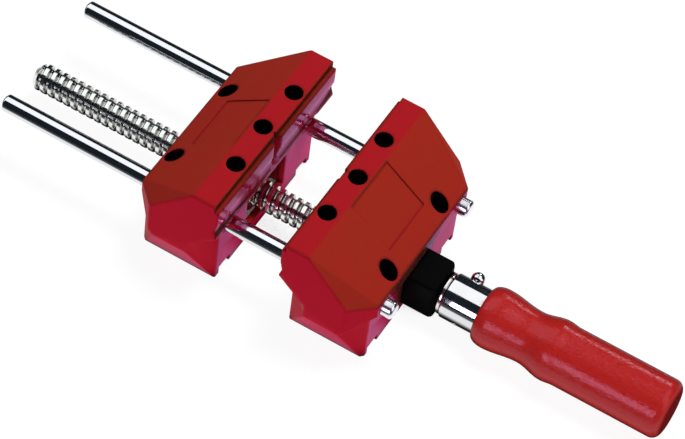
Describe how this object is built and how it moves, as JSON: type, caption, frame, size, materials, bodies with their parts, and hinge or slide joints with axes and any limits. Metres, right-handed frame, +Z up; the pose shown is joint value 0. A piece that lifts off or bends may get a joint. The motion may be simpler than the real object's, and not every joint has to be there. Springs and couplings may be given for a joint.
{
  "type": "hobby vise",
  "caption": "Small screw vise with a fixed and a sliding hollow moulded jaw on round guide rods, peg holes in the jaw tops and a turned wooden handle.",
  "frame": {"origin": "on the bench plane, on the middle plane of the spindle, under the middle of the overall length from the spindle's tip to the handle's end", "axes": "+X along the spindle towards the handle, +Y across the jaws, +Z up from the bench"},
  "size_m": [0.316, 0.0954, 0.06],
  "materials": {
    "jaw_red": "glass-filled polyamide moulding, satin red",
    "rod_chrome": "ground and bright-plated steel bar",
    "spring_steel": "oiled spring steel",
    "block_black": "black moulded polyamide, satin",
    "zinc_steel": "bright zinc-plated steel",
    "ferrule_chrome": "polished plated steel",
    "handle_lacquer": "turned beech under red gloss lacquer"
  },
  "bodies": {
    "base": {"front_jaw": "jaw_red", "guide_rod_near": "rod_chrome", "guide_rod_far": "rod_chrome", "rod_rings_near": "spring_steel", "rod_rings_far": "spring_steel", "bearing_block": "block_black", "bearing_screws": "zinc_steel"},
    "moving_jaw": {"rear_jaw": "jaw_red", "spindle_nut": "zinc_steel", "nut_screws": "zinc_steel"},
    "screw": {"spindle": "zinc_steel", "inner_washer": "zinc_steel", "thrust_washer": "zinc_steel", "ferrule": "ferrule_chrome", "ferrule_pin": "ferrule_chrome", "handle": "handle_lacquer"}
  },
  "joints": [
    {"name": "screw_turn", "type": "hinge", "parent": "base", "child": "screw", "pos_m": [0, 0, 0.0157], "axis": [1, 0, 0], "range_deg": [-2745, 5850]},
    {"name": "jaw_slide", "type": "slide", "parent": "base", "child": "moving_jaw", "axis": [1, 0, 0], "range_m": [-0.0651, 0.0306]}
  ],
  "couplings": [
    {"joint": "jaw_slide", "follows": "screw_turn", "m_per_rad": -0.00063662}
  ]
}
